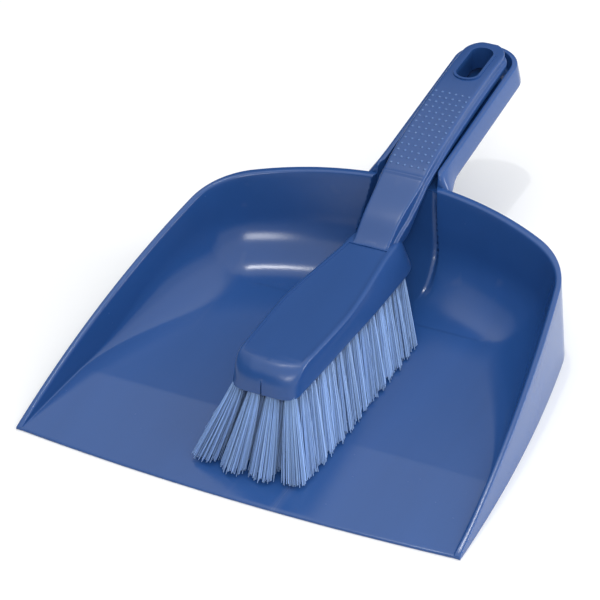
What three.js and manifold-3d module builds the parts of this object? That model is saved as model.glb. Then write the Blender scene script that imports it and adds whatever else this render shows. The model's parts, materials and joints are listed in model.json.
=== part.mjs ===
// Dustpan with a hand brush lying in it. Units are millimetres, +Z is up and +Y runs from the
// lip to the tip of the handles. While the pieces are built, y = 0 is the line that joins the two
// corners of the lip and z = 0 is the floor; the finished group is moved so that its origin is at
// the centre of its footprint.
import * as THREE from 'three';
import { mergeVertices } from 'three/addons/utils/BufferGeometryUtils.js';
import Module from 'manifold-3d';

const wasm = await Module();
wasm.setup();

// Scoop
const LIP_HALF_WIDTH = 110;
const LIP_BOW = 4.7;
const LIP_THICKNESS = 1.2;
const CREASE_Y = 50;
const FLOOR_Z = 4.2;
const SKIN = 2;
const RIM_BAND = 3.2;
const WALL_LEAN = 0.22;
const SKIRT_FLARE = 0.095;
const RIM_START = 1.8;
const RIM_RISE = 0.305;
const RIM_DROOP = 0.000275;
const SIDE_LENGTH = 155;
const CORNER_RADIUS = 40;
const SIDE_START = THREE.MathUtils.degToRad(-0.2);
const SIDE_END = THREE.MathUtils.degToRad(9.4);
const CORNER_END = THREE.MathUtils.degToRad(62);
const SIDE_STEPS = 9;
const CORNER_STEPS = 7;
const BACK_STEPS = 6;
const FLOOR_COLUMNS = 8;
const FILLET_FRONT = 0.8;
const FILLET_BACK = 29;
const FILLET_GROWTH = 100;
const FILLET_STEPS = 5;
const HOLLOW_START_Y = 16;
const CLEAR = 120;

// Recess in the back wall, below the handle
const RECESS_BOTTOM_Z = FLOOR_Z + 0.15;
const RECESS_TOP_Z = 56;
const RECESS_STEPS = 7;
const RECESS_FRONT_Y = 150;
const RECESS_SLOPE = 1.8;

// Pan handle: an open-topped channel
const ROOT_Y = 198.5;
const PAN_TIP_Y = 323;
const CHANNEL_WALL_TOP = 17;
const CHANNEL_WALL_FOOT = 20;
const CHANNEL_INNER = 14.2;
const CHANNEL_SKIN = 2.6;
const ROOT_FLARE = 4;

// Brush
const BRUSH_YAW = THREE.MathUtils.degToRad(0.6);
const BRUSH_PIVOT_Y = 258;
const NOSE_Y = 27.4;
const BLOCK_HEIGHT = 14.5;
const BLOCK_TOP_AT_NOSE = 50.9;
const BLOCK_PITCH = 0.068;
const GRIP_TIP_Y = 316;
const GRIP_HALF_WIDTH = 13;
const HANG_HOLE_Y = 291.5;
const HANG_HOLE_RADIUS = 6;
const HANG_HOLE_STRAIGHT = 21;
const HANG_RIM_WIDTH = 1.5;
const HANG_RIM_HEIGHT = 0.6;

// Bristles
const TUFT_ROWS = 14;
const TUFT_COLUMNS = [-11.6, -4, 4, 11.6];
const TUFT_FIRST_Y = 33.5;
const TUFT_PITCH = 9.6;
const TUFT_HOLE_RADIUS = 2.3;
const TUFT_HOLE_DEPTH = 7.5;
const TUFT_ROOT_RADIUS = 1.9;
const TUFT_LENGTH = 40;
const TUFT_TIP_HALF = new THREE.Vector2(4.6, 4.1);
const TUFT_FAN = { outer: THREE.MathUtils.degToRad(30), inner: THREE.MathUtils.degToRad(9) };
const TUFT_SIDES = 8;
const TIP_GAP = 0.35;

const panPlastic = () => new THREE.MeshStandardMaterial({ color: 0x4a6ea6, roughness: 0.25, metalness: 0 });
const stockPlastic = () => new THREE.MeshStandardMaterial({ color: 0x45689e, roughness: 0.3, metalness: 0 });
const filament = () => new THREE.MeshStandardMaterial({ color: 0x86a8d8, roughness: 0.6, metalness: 0 });

// ---------- helpers ----------

// Reads a value at y from a short list of [y, value] stations, in a straight line between neighbours.
function between(stations, y) {
  if (y <= stations[0][0]) return stations[0][1];
  for (let i = 1; i < stations.length; i += 1) {
    const [y0, v0] = stations[i - 1];
    const [y1, v1] = stations[i];
    if (y <= y1) return THREE.MathUtils.lerp(v0, v1, (y - y0) / (y1 - y0));
  }
  return stations[stations.length - 1][1];
}

// Turns points and triangles into a geometry, leaving out triangles that have closed up.
function geometryFrom(points, triangles) {
  const loose = new THREE.BufferGeometry();
  const position = points.flatMap((p) => [p.x, p.y, p.z]);
  loose.setAttribute('position', new THREE.Float32BufferAttribute(position, 3));
  loose.setIndex(triangles.flat());
  const merged = mergeVertices(loose, 1e-4);
  const index = merged.getIndex().array;
  const kept = [];
  for (let i = 0; i < index.length; i += 3) {
    const [a, b, c] = [index[i], index[i + 1], index[i + 2]];
    if (a !== b && b !== c && c !== a) kept.push(a, b, c);
  }
  merged.setIndex(kept);
  return merged;
}

// A closed body between an upper and a lower grid of the same size, both running front to back
// in rows and right to left in columns. The last row lies in the centre plane, where its two halves
// meet, so it needs no end wall.
function bodyBetween(upper, lower) {
  const rows = upper.length;
  const columns = upper[0].length;
  const points = [...upper.flat(), ...lower.flat()];
  const up = (r, c) => r * columns + c;
  const low = (r, c) => rows * columns + r * columns + c;
  const triangles = [];
  const quad = (a, b, c, d) => triangles.push([a, b, c], [a, c, d]);
  for (let r = 0; r < rows - 1; r += 1) {
    for (let c = 0; c < columns - 1; c += 1) {
      quad(up(r, c), up(r + 1, c), up(r + 1, c + 1), up(r, c + 1));
      quad(low(r, c), low(r, c + 1), low(r + 1, c + 1), low(r + 1, c));
    }
    quad(low(r, 0), low(r + 1, 0), up(r + 1, 0), up(r, 0));
    quad(up(r, columns - 1), up(r + 1, columns - 1), low(r + 1, columns - 1), low(r, columns - 1));
  }
  for (let c = 0; c < columns - 1; c += 1) {
    quad(up(0, c), up(0, c + 1), low(0, c + 1), low(0, c));
  }
  return geometryFrom(points, triangles);
}

// A closed body through a run of rings with equal point counts, capped by a fan at each end. Each
// ring turns anticlockwise seen from the run's far end.
function loft(rings) {
  const sides = rings[0].length;
  const points = rings.flat();
  const triangles = [];
  for (let r = 0; r < rings.length - 1; r += 1) {
    for (let s = 0; s < sides; s += 1) {
      const next = (s + 1) % sides;
      const [a, b] = [r * sides + s, r * sides + next];
      triangles.push([a, b, b + sides], [a, b + sides, a + sides]);
    }
  }
  const last = (rings.length - 1) * sides;
  for (let s = 1; s < sides - 1; s += 1) {
    triangles.push([0, s + 1, s], [last, last + s, last + s + 1]);
  }
  return geometryFrom(points, triangles);
}

function toSolid(geometry) {
  const bare = geometry.clone();
  bare.deleteAttribute('normal');
  bare.deleteAttribute('uv');
  const merged = mergeVertices(bare, 1e-4);
  const mesh = new wasm.Mesh({
    numProp: 3,
    vertProperties: new Float32Array(merged.getAttribute('position').array),
    triVerts: new Uint32Array(merged.getIndex().array),
  });
  return new wasm.Manifold(mesh);
}

function toGeometry(solid) {
  const mesh = solid.getMesh();
  const geometry = new THREE.BufferGeometry();
  geometry.setAttribute('position', new THREE.BufferAttribute(mesh.vertProperties, 3));
  geometry.setIndex(new THREE.BufferAttribute(mesh.triVerts, 1));
  return geometry;
}

function namedMesh(name, geometry, material) {
  geometry.computeVertexNormals();
  const mesh = new THREE.Mesh(geometry, material);
  mesh.name = name;
  return mesh;
}

// ---------- dustpan ----------

// The rim seen from above is three arcs on each side: a long gentle one, the corner and the back.
// The heading turns inwards from straight back, and it reaches a quarter turn at the centre line.
function rimArcs() {
  const sideRadius = SIDE_LENGTH / (SIDE_END - SIDE_START);
  const afterSide = LIP_HALF_WIDTH + sideRadius * (Math.cos(SIDE_END) - Math.cos(SIDE_START));
  const afterCorner = afterSide + CORNER_RADIUS * (Math.cos(CORNER_END) - Math.cos(SIDE_END));
  return [
    { radius: sideRadius, from: SIDE_START, to: SIDE_END, steps: SIDE_STEPS },
    { radius: CORNER_RADIUS, from: SIDE_END, to: CORNER_END, steps: CORNER_STEPS },
    { radius: afterCorner / Math.cos(CORNER_END), from: CORNER_END, to: Math.PI / 2, steps: BACK_STEPS },
  ];
}

// Points of the right half of the rim's outer edge, each with its heading, from the lip's corner.
function rimPlan() {
  let x = LIP_HALF_WIDTH;
  let y = 0;
  const plan = [{ x, y, heading: SIDE_START }];
  for (const arc of rimArcs()) {
    for (let i = 1; i <= arc.steps; i += 1) {
      const heading = THREE.MathUtils.lerp(arc.from, arc.to, i / arc.steps);
      plan.push({
        x: x + arc.radius * (Math.cos(heading) - Math.cos(arc.from)),
        y: y + arc.radius * (Math.sin(heading) - Math.sin(arc.from)),
        heading,
      });
    }
    ({ x, y } = plan[plan.length - 1]);
  }
  plan[plan.length - 1].x = 0;
  return plan;
}

const rimHeight = (y) => RIM_START + RIM_RISE * Math.max(y, 0) - RIM_DROOP * y * y;

function floorHeight(y) {
  const climb = (FLOOR_Z - LIP_THICKNESS) * (y + LIP_BOW) / (CREASE_Y + LIP_BOW);
  return Math.min(FLOOR_Z, LIP_THICKNESS + climb);
}

const bowAt = (y) => LIP_BOW * THREE.MathUtils.clamp(1 - y / CREASE_Y, 0, 1);

const filletAt = (y) => {
  const grown = THREE.MathUtils.smoothstep(y, CREASE_Y, CREASE_Y + FILLET_GROWTH);
  return THREE.MathUtils.lerp(FILLET_FRONT, FILLET_BACK, grown);
};

// Moves a rim station inwards by a distance, at height z.
function inward(station, distance, z) {
  const x = station.x - distance * Math.cos(station.heading);
  const y = station.y - distance * Math.sin(station.heading);
  return new THREE.Vector3(station.heading > Math.PI / 2 - 1e-6 ? 0 : x, y, z);
}

// Where the fillet between wall and floor is centred at a rim station.
function filletCentre(station) {
  const lean = Math.atan(WALL_LEAN);
  const radius = filletAt(station.y);
  const rise = rimHeight(station.y) - floorHeight(station.y);
  const reach = radius * Math.tan((Math.PI / 2 - lean) / 2);
  return { radius, distance: RIM_BAND + WALL_LEAN * rise + reach, z: floorHeight(station.y) + radius };
}

// One arc of the wall-to-floor fillet, from the wall down to the floor.
function filletArc(station, radius) {
  const centre = filletCentre(station);
  const lean = Math.atan(WALL_LEAN);
  const arc = [];
  for (let i = 0; i <= FILLET_STEPS; i += 1) {
    const turn = THREE.MathUtils.lerp(lean, Math.PI / 2, i / FILLET_STEPS);
    const distance = centre.distance - radius * Math.cos(turn);
    arc.push(inward(station, distance, centre.z - radius * Math.sin(turn)));
  }
  return arc;
}

// One row across the pan: a side profile, the floor between its two feet, and its mirror image.
function rowAcross(profile, heightAt) {
  const foot = profile[profile.length - 1];
  const row = [...profile];
  for (let i = 1; i < FLOOR_COLUMNS; i += 1) {
    const across = 1 - (2 * i) / FLOOR_COLUMNS;
    const y = foot.y - bowAt(foot.y) * (1 - across * across);
    row.push(new THREE.Vector3(foot.x * across, y, heightAt(y)));
  }
  const mirrored = profile.map((p) => new THREE.Vector3(-p.x, p.y, p.z)).reverse();
  return [...row, ...mirrored];
}

const flattened = (rows, z) => rows.map((row) => row.map((p) => new THREE.Vector3(p.x, p.y, z)));

// The outside of the pan without its handle: skirt, rim and everything between, filled in.
function outerBody() {
  const upper = rimPlan().map((s) => rowAcross([inward(s, 0, rimHeight(s.y))], rimHeight));
  const lower = rimPlan().map((s) => {
    const foot = inward(s, -SKIRT_FLARE * rimHeight(s.y), 0);
    return rowAcross([foot], () => 0);
  });
  return toSolid(bodyBetween(upper, lower));
}

// The space that the scoop holds, carried on past the lip and above the rim.
function scoopSpace() {
  const rows = rimPlan().map((station) => {
    const above = inward(station, RIM_BAND - WALL_LEAN * 8, rimHeight(station.y) + 8);
    return rowAcross([above, ...filletArc(station, filletCentre(station).radius)], floorHeight);
  });
  const ahead = rows[0].map((p) => new THREE.Vector3(p.x, p.y - 15, p.z - 0.8));
  rows.unshift(ahead);
  return toSolid(bodyBetween(flattened(rows, CLEAR), rows));
}

// The hollow under the scoop, between its skin and the skirt, open at the bottom.
function undersideSpace() {
  const lean = Math.atan(WALL_LEAN);
  const drop = (SKIN + SKIN / Math.cos(lean) - RIM_BAND) / (WALL_LEAN + SKIRT_FLARE);
  const below = -5;
  const rows = rimPlan().filter((s) => s.y > HOLLOW_START_Y).map((station) => {
    const height = rimHeight(station.y);
    const foot = inward(station, SKIN - SKIRT_FLARE * (height - below), below);
    const apex = inward(station, SKIN - SKIRT_FLARE * drop, height - drop);
    const arc = filletArc(station, filletCentre(station).radius + SKIN);
    return rowAcross([foot, apex, ...arc], (y) => floorHeight(y) - SKIN);
  });
  return toSolid(bodyBetween(rows, flattened(rows, below - 1)));
}

// Distance from the centre line's rim to the inner face of the back wall at height z.
function backWallY(z) {
  const back = rimPlan()[rimPlan().length - 1];
  const centre = filletCentre(back);
  const tangentZ = centre.z - centre.radius * Math.sin(Math.atan(WALL_LEAN));
  if (z > tangentZ) return back.y - RIM_BAND - WALL_LEAN * (rimHeight(back.y) - z);
  const fall = centre.z - z;
  return back.y - centre.distance + Math.sqrt(centre.radius ** 2 - fall ** 2);
}

// The shallow recess that runs down the back wall from the handle's channel to the floor. Its sides
// slope, it is widest at its foot and deepest at the top.
function recess(grow) {
  const halfWidth = [[4, 22.5], [8, 23.6], [18, 23], [28, 21], [38, 19.2], [48, 17.8], [56, 16.8]];
  const rings = [];
  for (let i = 0; i <= RECESS_STEPS; i += 1) {
    const z = THREE.MathUtils.lerp(RECESS_BOTTOM_Z, RECESS_TOP_Z, (i / RECESS_STEPS) ** 1.4);
    const depth = 1 + 0.05 * z + grow;
    const wall = backWallY(z);
    const outer = between(halfWidth, z) + grow;
    const inner = outer - RECESS_SLOPE * depth;
    rings.push([
      new THREE.Vector3(-outer, RECESS_FRONT_Y, z),
      new THREE.Vector3(outer, RECESS_FRONT_Y, z),
      new THREE.Vector3(outer, wall, z),
      new THREE.Vector3(inner, wall + depth, z),
      new THREE.Vector3(-inner, wall + depth, z),
      new THREE.Vector3(-outer, wall, z),
    ]);
  }
  return toSolid(loft(rings));
}

const channelTop = (y) => 57.2 + 0.088 * (y - 197);
const channelBottom = (y) => 47.7 + 0.0793 * (y - 207);
const channelFloor = (y) => channelBottom(y) + CHANNEL_SKIN;

// Stations along a handle that ends in a half round of the given radius, each with the share of
// the full width that is left there.
function roundedStations(plain, tipY, radius) {
  const stations = plain.map((y) => ({ y, share: 1 }));
  for (const degrees of [0, 20, 40, 56, 70, 82]) {
    const turn = THREE.MathUtils.degToRad(degrees);
    stations.push({ y: tipY - radius * (1 - Math.sin(turn)), share: Math.cos(turn) });
  }
  return stations;
}

// A ring in the plane of constant y from the right half of its outline, listed bottom to top.
function ringAt(y, half, share) {
  const right = half.map(([x, z]) => new THREE.Vector3(x * share, y, z));
  const left = half.map(([x, z]) => new THREE.Vector3(-x * share, y, z));
  return [...right.reverse(), ...left];
}

function panHandle() {
  const plain = [ROOT_Y, 204, 211, 220, 240, 262, 284];
  const rings = roundedStations(plain, PAN_TIP_Y, CHANNEL_WALL_TOP).map(({ y, share }) => {
    const flare = ROOT_FLARE * (1 - THREE.MathUtils.smoothstep(y, ROOT_Y, 220));
    const half = [
      [CHANNEL_WALL_FOOT + flare - 2, channelBottom(y)],
      [CHANNEL_WALL_FOOT + flare, channelBottom(y) + 1.5],
      [CHANNEL_WALL_TOP, channelTop(y)],
    ];
    return ringAt(y, half, share);
  });
  return toSolid(loft(rings));
}

function channelSpace() {
  const plain = [180, 204, 240, 280];
  const tip = PAN_TIP_Y - (CHANNEL_WALL_TOP - CHANNEL_INNER);
  const rings = roundedStations(plain, tip, CHANNEL_INNER).map(({ y, share }) => {
    const half = [
      [CHANNEL_INNER - 2, channelFloor(y)],
      [CHANNEL_INNER - 0.6, channelFloor(y) + 1.5],
      [CHANNEL_INNER, CLEAR],
    ];
    return ringAt(y, half, share);
  });
  return toSolid(loft(rings));
}

function dustpan() {
  const underside = undersideSpace().subtract(recess(SKIN));
  const scoop = outerBody().subtract(scoopSpace()).subtract(underside);
  const body = scoop.add(panHandle()).subtract(channelSpace()).subtract(recess(0));
  return namedMesh('dustpan', toGeometry(body), panPlastic());
}

// ---------- brush ----------

const blockTop = (y) => BLOCK_TOP_AT_NOSE - BLOCK_PITCH * (y - NOSE_Y);
const blockBottom = (y) => blockTop(y) - BLOCK_HEIGHT;

// The block that holds the bristles: nearly square at the nose, waisted at the top towards a
// rounded heel, with sides that spread downwards.
function block() {
  const foot = [
    [27.4, 7], [28.2, 12], [30, 14.8], [33, 16.2], [40, 16.8], [60, 17.4], [90, 18.2],
    [120, 19], [147, 19], [160, 18], [167, 15.8], [171.5, 12], [174, 7.5], [175, 3],
  ];
  const shoulder = [
    [27.4, 6], [28.2, 11], [30, 14], [33, 15.8], [40, 16.5], [60, 17.2], [85, 17.8], [105, 16.6],
    [125, 14.5], [152, 12], [167, 10.5], [171.5, 8.5], [174, 5], [175, 2],
  ];
  const fullness = [
    [27.4, 0.36], [28.2, 0.56], [30, 0.8], [33, 0.96], [36, 1], [160, 1], [167, 0.95],
    [171.5, 0.82], [174, 0.62], [175, 0.45],
  ];
  const rings = [27.4, 28.2, 30, 33, 40, 60, 85, 105, 125, 147, 161.5, 167, 171.5, 174, 175].map((y) => {
    const height = BLOCK_HEIGHT * between(fullness, y);
    const [low, high] = [between(foot, y), between(shoulder, y)];
    const half = [
      [low - 0.8, blockBottom(y)],
      [low, blockBottom(y) + 0.8],
      [high, blockBottom(y) + height - 1.2],
      [high - 1.6, blockBottom(y) + height],
    ];
    return ringAt(y, half, 1);
  });
  return toSolid(loft(rings));
}

const gripTop = [
  [150, 41.5], [154, 43.4], [168, 51], [189, 57.4], [205, 62.8], [226, 67], [248, 70], [272, 72.1],
  [294, 73], [316, 73.2],
];
const gripFoot = [
  [150, 33], [172, 33], [180, 38], [188, 45], [197, 50.5], [204, 51], [226, 55], [316, 62.2],
];

// The neck and grip: a sloping pad that leaves the block, then the long grip with a step
// along each side.
function grip() {
  const width = [[150, 10.6], [172, 11.6], [190, 12.6], [205, GRIP_HALF_WIDTH]];
  const plain = [150, 154, 161, 168, 172, 180, 188, 197, 204, 215, 226, 237, 248, 260, 272, 285];
  const rings = roundedStations(plain, GRIP_TIP_Y, GRIP_HALF_WIDTH).map(({ y, share }) => {
    const top = between(gripTop, y);
    const low = between(gripFoot, y);
    const wide = between(width, y);
    const rise = top - low;
    const half = [
      [wide - 3.5, low],
      [wide - 0.5, low + 0.22 * rise],
      [wide, low + 0.6 * rise],
      [wide - 1.4, low + 0.68 * rise],
      [wide - 1.6, top - 0.8],
      [wide - 2.6, top],
    ];
    return ringAt(y, half, share);
  });
  return toSolid(loft(rings));
}

// An upright obround bar that leans with the top of the grip.
function obround(radius, z0, z1) {
  const shape = new THREE.Shape();
  const straight = HANG_HOLE_STRAIGHT / 2;
  shape.absarc(0, straight, radius, 0, Math.PI, false);
  shape.absarc(0, -straight, radius, Math.PI, 2 * Math.PI, false);
  const options = { depth: z1 - z0, bevelEnabled: false, curveSegments: 7 };
  const geometry = new THREE.ExtrudeGeometry(shape, options);
  const slope = (between(gripTop, HANG_HOLE_Y + 15) - between(gripTop, HANG_HOLE_Y - 15)) / 30;
  geometry.translate(0, 0, z0);
  geometry.rotateX(Math.atan(slope));
  geometry.translate(0, HANG_HOLE_Y, between(gripTop, HANG_HOLE_Y));
  return toSolid(geometry);
}

function tuftRoots() {
  const roots = [];
  for (let row = 0; row < TUFT_ROWS; row += 1) {
    TUFT_COLUMNS.forEach((x, column) => {
      const y = TUFT_FIRST_Y + row * TUFT_PITCH;
      roots.push({ x, y, z: blockBottom(y), row, column });
    });
  }
  return roots;
}

function tuftHole(root) {
  const height = TUFT_HOLE_DEPTH + 2;
  const geometry = new THREE.CylinderGeometry(TUFT_HOLE_RADIUS, TUFT_HOLE_RADIUS, height, 8);
  geometry.rotateX(Math.PI / 2);
  geometry.rotateZ(Math.PI / 8);
  geometry.translate(root.x, root.y, root.z + TUFT_HOLE_DEPTH - height / 2);
  return toSolid(geometry);
}

function brushStock() {
  const rim = obround(HANG_HOLE_RADIUS + HANG_RIM_WIDTH, -6, HANG_RIM_HEIGHT);
  let body = block().add(grip()).add(rim).subtract(obround(HANG_HOLE_RADIUS, -30, 10));
  for (const root of tuftRoots()) body = body.subtract(tuftHole(root));
  return namedMesh('brush_stock', toGeometry(body), stockPlastic());
}

// One tuft: straight in its hole, then leaning forwards and outwards until its tips lie on the
// scoop's floor. Every tuft has the same free length, so it leans more where the block is lower.
function tuft(root) {
  const outer = root.column === 0 || root.column === TUFT_COLUMNS.length - 1;
  const fan = outer ? TUFT_FAN.outer : TUFT_FAN.inner;
  const drop = root.z - floorHeight(root.y - 25);
  const reach = Math.sqrt(TUFT_LENGTH ** 2 - drop ** 2);
  const tip = new THREE.Vector2(
    root.x + Math.sign(root.x) * reach * Math.sin(fan),
    root.y - reach * Math.cos(fan),
  );
  const tipZ = floorHeight(tip.y + TUFT_TIP_HALF.y) + TIP_GAP;
  const mouthZ = root.z - 0.5;
  const ring = (x, y, z, halfX, halfY) => {
    const points = [];
    for (let i = 0; i < TUFT_SIDES; i += 1) {
      const turn = (2 * Math.PI * (i + 0.5)) / TUFT_SIDES;
      points.push(new THREE.Vector3(x + halfX * Math.cos(turn), y + halfY * Math.sin(turn), z));
    }
    return points;
  };
  const along = (t) => {
    const size = t ** 0.8;
    const x = THREE.MathUtils.lerp(root.x, tip.x, t);
    const y = THREE.MathUtils.lerp(root.y, tip.y, t);
    const halfX = THREE.MathUtils.lerp(TUFT_ROOT_RADIUS, TUFT_TIP_HALF.x, size);
    const halfY = THREE.MathUtils.lerp(TUFT_ROOT_RADIUS, TUFT_TIP_HALF.y, size);
    return ring(x, y, THREE.MathUtils.lerp(mouthZ, tipZ, t), halfX, halfY);
  };
  const top = ring(root.x, root.y, root.z + TUFT_HOLE_DEPTH - 0.5, TUFT_ROOT_RADIUS, TUFT_ROOT_RADIUS);
  const name = `tuft_r${String(root.row + 1).padStart(2, '0')}_c${root.column + 1}`;
  return namedMesh(name, loft([along(1), along(0.5), along(0.15), along(0), top]), filament());
}

// ---------- assembly ----------

function brush() {
  const pieces = new THREE.Group();
  pieces.add(brushStock(), ...tuftRoots().map(tuft));
  pieces.position.y = -BRUSH_PIVOT_Y;
  const turned = new THREE.Group();
  turned.position.y = BRUSH_PIVOT_Y;
  turned.rotation.z = BRUSH_YAW;
  turned.add(pieces);
  return turned;
}

const set = new THREE.Group();
set.add(dustpan(), brush());
set.updateMatrixWorld(true);
const bounds = new THREE.Box3().setFromObject(set, true);
set.position.y = -(bounds.min.y + bounds.max.y) / 2;
set.position.z = -bounds.min.z;

export default set;
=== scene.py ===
"""Dustpan with a hand brush lying in it: the finished surfaces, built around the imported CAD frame.

The outlines below are written in millimetres in the fit frame, where y = 0 joins the two corners of
the lip and z = 0 is the floor. They become metres in the CAD's own frame when a mesh is made.
"""
import json
import math

import bmesh
import bpy
from mathutils import Matrix, Vector

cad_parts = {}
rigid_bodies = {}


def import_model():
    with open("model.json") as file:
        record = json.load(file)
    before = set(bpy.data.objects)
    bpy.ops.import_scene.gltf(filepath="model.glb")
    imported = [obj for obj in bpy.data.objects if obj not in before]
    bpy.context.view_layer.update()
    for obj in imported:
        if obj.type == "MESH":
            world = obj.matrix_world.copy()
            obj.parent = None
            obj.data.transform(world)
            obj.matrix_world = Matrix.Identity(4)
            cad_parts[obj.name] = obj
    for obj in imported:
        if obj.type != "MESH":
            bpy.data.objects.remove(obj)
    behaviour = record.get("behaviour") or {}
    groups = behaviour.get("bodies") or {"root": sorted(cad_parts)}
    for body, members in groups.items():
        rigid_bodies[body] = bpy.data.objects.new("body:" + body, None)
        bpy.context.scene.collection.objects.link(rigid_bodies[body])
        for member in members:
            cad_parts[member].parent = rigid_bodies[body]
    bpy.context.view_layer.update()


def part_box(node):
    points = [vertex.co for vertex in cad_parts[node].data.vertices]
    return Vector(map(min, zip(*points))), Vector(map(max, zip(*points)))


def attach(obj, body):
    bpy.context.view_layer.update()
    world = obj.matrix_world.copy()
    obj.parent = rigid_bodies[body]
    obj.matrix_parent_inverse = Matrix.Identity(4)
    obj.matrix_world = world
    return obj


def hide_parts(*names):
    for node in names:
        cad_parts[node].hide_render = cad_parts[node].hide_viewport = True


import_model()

bl_info = {
    "name": "Dustpan and brush",
    "version": (1, 0, 0),
    "blender": (4, 5, 0),
    "location": "View3D > Sidebar > Dustpan",
    "description": "Builds a moulded dustpan and its hand brush around a packed CAD frame",
    "category": "Add Mesh",
}

MM = 0.001
SHARP_ANGLE = math.radians(32)

# Scoop
LIP_HALF_WIDTH = 110
LIP_BOW = 4.7
LIP_THICKNESS = 1.2
CREASE_Y = 50
FLOOR_Z = 4.2
SKIN = 2
WALL_LEAN = 0.22
LEAN_ANGLE = math.atan(WALL_LEAN)
SKIRT_FLARE = 0.095
RIM_START = 1.8
RIM_RISE = 0.305
RIM_DROOP = 0.000275
SIDE_LENGTH = 155
CORNER_RADIUS = 40
SIDE_START = math.radians(-0.2)
SIDE_END = math.radians(9.4)
CORNER_END = math.radians(62)
FILLET_FRONT = 0.8
FILLET_BACK = 29
FILLET_GROWTH = 100
HOLLOW_START_Y = 16
HALF_FLOOR_COLUMNS = 12
RECESS_HALF_WIDTH = ((4, 22.5), (8, 23.6), (18, 23), (28, 21), (38, 19.2), (48, 17.8), (56, 16.8))
RECESS_SLOPE = 0.55
GROOVE_DEPTH = 1.5
GROOVE_INSET = 1.9
GROOVE_WIDTH = 1.0

# Pan handle
ROOT_Y = 200.8
CHANNEL_WALL_TOP = 17
CHANNEL_WALL_SPREAD = 3
CHANNEL_INNER = 14.2
CHANNEL_SKIN = 2.6
ROOT_FLARE = 4
ROOT_FLARE_END_Y = 220
HALF_CHANNEL_COLUMNS = 6

# Brush
BRUSH_YAW = math.radians(0.6)
BRUSH_PIVOT_Y = 258
NOSE_Y = 27.4
NOSE_LENGTH = 11
NOSE_CROWN = 0.42
NOSE_CROWN_LENGTH = 15
HEEL_Y = 175
HEEL_LENGTH = 20
HEEL_POWER = 2.2
END_REACH = 0.985
NOSE_FULLNESS = 0.16
HEEL_FULLNESS = 0.4
PANEL_START_Y = 35.2
BLOCK_HEIGHT = 14.5
BLOCK_TOP_AT_NOSE = 50.9
BLOCK_PITCH = 0.068
GRIP_TIP_Y = 316
GRIP_HALF_WIDTH = 13
HANG_HOLE_Y = 291.5
HANG_HOLE_RADIUS = 6
HANG_HOLE_STRAIGHT = 21

# Bristles
TUFT_ROWS = 14
TUFT_COLUMNS = (-11.6, -4, 4, 11.6)
TUFT_FIRST_Y = 33.5
TUFT_PITCH = 9.6
TUFT_HOLE_RADIUS = 2.3
TUFT_HOLE_DEPTH = 7.5
TUFT_ROOT_RADIUS = 1.75
TUFT_LENGTH = 40
TUFT_TIP_HALF = (4.6, 4.1)
TUFT_SPREAD = (6.4, 5.3)
TUFT_FAN_OUTER = math.radians(30)
TUFT_FAN_INNER = math.radians(9)
FRONT_TUFT_ROWS = 7
ANCHOR_LENGTH = 4.4
ANCHOR_WIRE = 0.25
ANCHOR_INSET = 0.9
ROOT_INSET = 1.5

# Grip dots
DOT_FIRST_Y = 199.5
DOT_PITCH = 4.6
DOT_COLUMNS = (-9, -5.4, -1.8, 1.8, 5.4, 9)
DOT_LIFT = 0.02

# Plastic
PLASTIC_IOR = 1.46

FIT_ORIGIN_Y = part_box("dustpan")[0].y / MM + LIP_BOW
PAN_TIP_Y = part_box("dustpan")[1].y / MM - FIT_ORIGIN_Y - 0.05


# ---------- numbers ----------

def lerp(a, b, t):
    return a + (b - a) * t


def smoothstep(x, low, high):
    t = min(max((x - low) / (high - low), 0.0), 1.0)
    return t * t * (3 - 2 * t)


def between(stations, y):
    """Reads a value at y from a short list of (y, value) stations, smoothly and without overshoot."""
    if y <= stations[0][0]:
        return stations[0][1]
    if y >= stations[-1][0]:
        return stations[-1][1]
    i = next(k for k in range(1, len(stations)) if y <= stations[k][0])
    slopes = []
    for k in (i - 1, i):
        if k in (0, len(stations) - 1):
            slopes.append(None)
            continue
        before = (stations[k][1] - stations[k - 1][1]) / (stations[k][0] - stations[k - 1][0])
        after = (stations[k + 1][1] - stations[k][1]) / (stations[k + 1][0] - stations[k][0])
        slopes.append(0.0 if before * after <= 0 else 2 * before * after / (before + after))
    (y0, v0), (y1, v1) = stations[i - 1], stations[i]
    chord = (v1 - v0) / (y1 - y0)
    m0, m1 = (chord if s is None else s for s in slopes)
    t = (y - y0) / (y1 - y0)
    step = y1 - y0
    return ((2 * t**3 - 3 * t**2 + 1) * v0 + (t**3 - 2 * t**2 + t) * step * m0
            + (3 * t**2 - 2 * t**3) * v1 + (t**3 - t**2) * step * m1)


def spaced(low, high, step):
    """Evenly spaced values from low to high, no further apart than step."""
    count = max(1, math.ceil((high - low) / step))
    return [lerp(low, high, i / count) for i in range(count + 1)]


def rounded(corners, steps=4):
    """An open outline of (x, z, radius) corners, with each inner corner eased by a short curve."""
    points = [Vector(corners[0][:2])]
    for before, corner, after in zip(corners, corners[1:], corners[2:]):
        here = Vector(corner[:2])
        back = Vector(before[:2]) - here
        on = Vector(after[:2]) - here
        start = here + back.normalized() * min(corner[2], 0.45 * back.length)
        end = here + on.normalized() * min(corner[2], 0.45 * on.length)
        for i in range(steps + 1):
            t = i / steps
            points.append(start * (1 - t) ** 2 + here * 2 * t * (1 - t) + end * t * t)
    points.append(Vector(corners[-1][:2]))
    return points


# ---------- meshes ----------

def to_part(point):
    """Fit-frame millimetres to metres in the part's frame."""
    return Vector((point[0], point[1] + FIT_ORIGIN_Y, point[2])) * MM


def yawed(point):
    """Turns a brush point by the small angle at which the brush lies in the pan."""
    y = point[1] - BRUSH_PIVOT_Y
    x = point[0] * math.cos(BRUSH_YAW) - y * math.sin(BRUSH_YAW)
    y = point[0] * math.sin(BRUSH_YAW) + y * math.cos(BRUSH_YAW)
    return Vector((x, y + BRUSH_PIVOT_Y, point[2]))


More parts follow.
